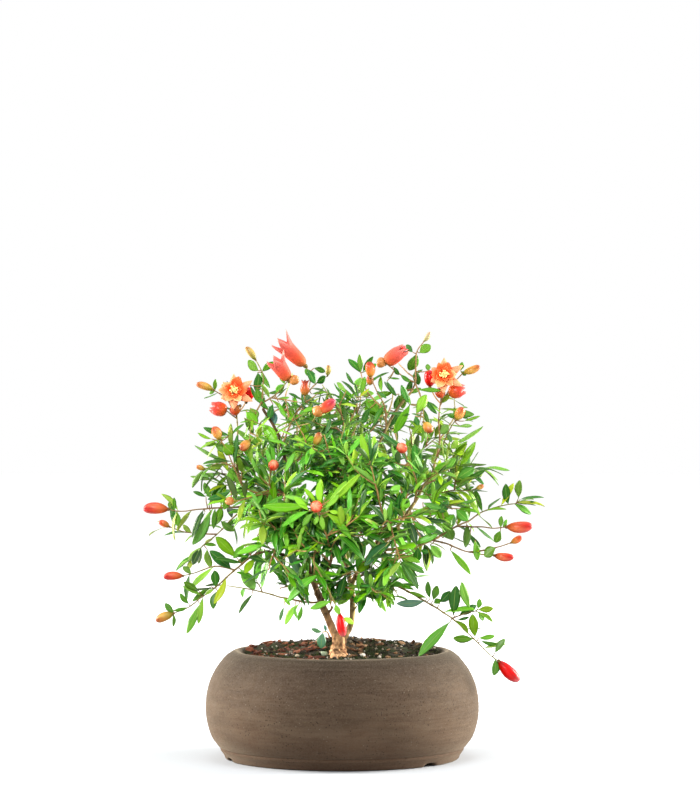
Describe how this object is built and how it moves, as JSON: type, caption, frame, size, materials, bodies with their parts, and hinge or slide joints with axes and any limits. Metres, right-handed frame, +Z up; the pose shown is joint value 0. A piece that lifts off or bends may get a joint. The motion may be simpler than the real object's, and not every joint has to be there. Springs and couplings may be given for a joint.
{
  "type": "pomegranate bonsai in a pot",
  "caption": "Small flowering pomegranate bonsai with a forked trunk, leafy shoots, orange-red buds and blossoms, growing in a round bellied unglazed stoneware pot with a drain hole.",
  "frame": {"origin": "on the ground under the middle of the pot's foot ring", "axes": "+Z up along the pot's axis, -Y the front of the tree, +X the viewer's right"},
  "size_m": [0.3201, 0.22, 0.3453],
  "materials": {
    "stoneware": "unglazed brown-grey stoneware, speckled, with fine throwing lines",
    "soil": "dark potting soil with moss, grit and bark",
    "screen": "black plastic mesh",
    "bark": "thin flaky grey-brown bark",
    "leaf": "smooth glossy green leaf on a reddish-brown twig",
    "bud": "waxy orange-red bud and calyx",
    "petal": "thin crumpled orange petal",
    "stamen": "pale yellow stamens"
  },
  "bodies": {
    "root": {"bud_centre_left_red": "bud", "bud_centre_right_red": "bud", "bud_centre_yellow": "bud", "bud_front_centre": "bud", "bud_hanging_front": "bud", "bud_left_flower_red": "bud", "bud_left_inner_orange": "bud", "bud_left_lower_red": "bud", "bud_left_lowest": "bud", "bud_left_middle_red": "bud", "bud_left_tip_green": "bud", "bud_left_top_yellow": "bud", "bud_left_upper": "bud", "bud_right_drooping_red": "bud", "bud_right_flower_red": "bud", "bud_right_inner_orange": "bud", "bud_right_lower_red": "bud", "bud_right_lowest_red": "bud", "bud_right_top_yellow": "bud", "bud_right_upper": "bud", "bud_top_left_red": "bud", "bud_top_right_orange": "bud", "drain_screen": "screen", "flower_left_calyx": "bud", "flower_left_petals": "petal", "flower_left_stamens": "stamen", "flower_right_calyx": "bud", "flower_right_petals": "petal", "flower_right_stamens": "stamen", "pot": "stoneware", "shoot_back_centre": "leaf", "shoot_back_left": "leaf", "shoot_back_right": "leaf", "shoot_centre_left": "leaf", "shoot_centre_right": "leaf", "shoot_centre_top": "leaf", "shoot_front_centre": "leaf", "shoot_front_left": "leaf", "shoot_front_right": "leaf", "shoot_hanging_front": "leaf", "shoot_inner_back": "leaf", "shoot_inner_front": "leaf", "shoot_left_lower": "leaf", "shoot_left_middle": "leaf", "shoot_left_top": "leaf", "shoot_left_upper": "leaf", "shoot_low_centre": "leaf", "shoot_low_left": "leaf", "shoot_low_right": "leaf", "shoot_right_drooping": "leaf", "shoot_right_lower": "leaf", "shoot_right_top": "leaf", "shoot_right_upper": "leaf", "shoot_top_left": "leaf", "shoot_top_right": "leaf", "soil": "soil", "trumpet_left": "bud", "trumpet_right": "bud", "trumpet_top_left": "bud", "wood": "bark"}
  },
  "joints": []
}
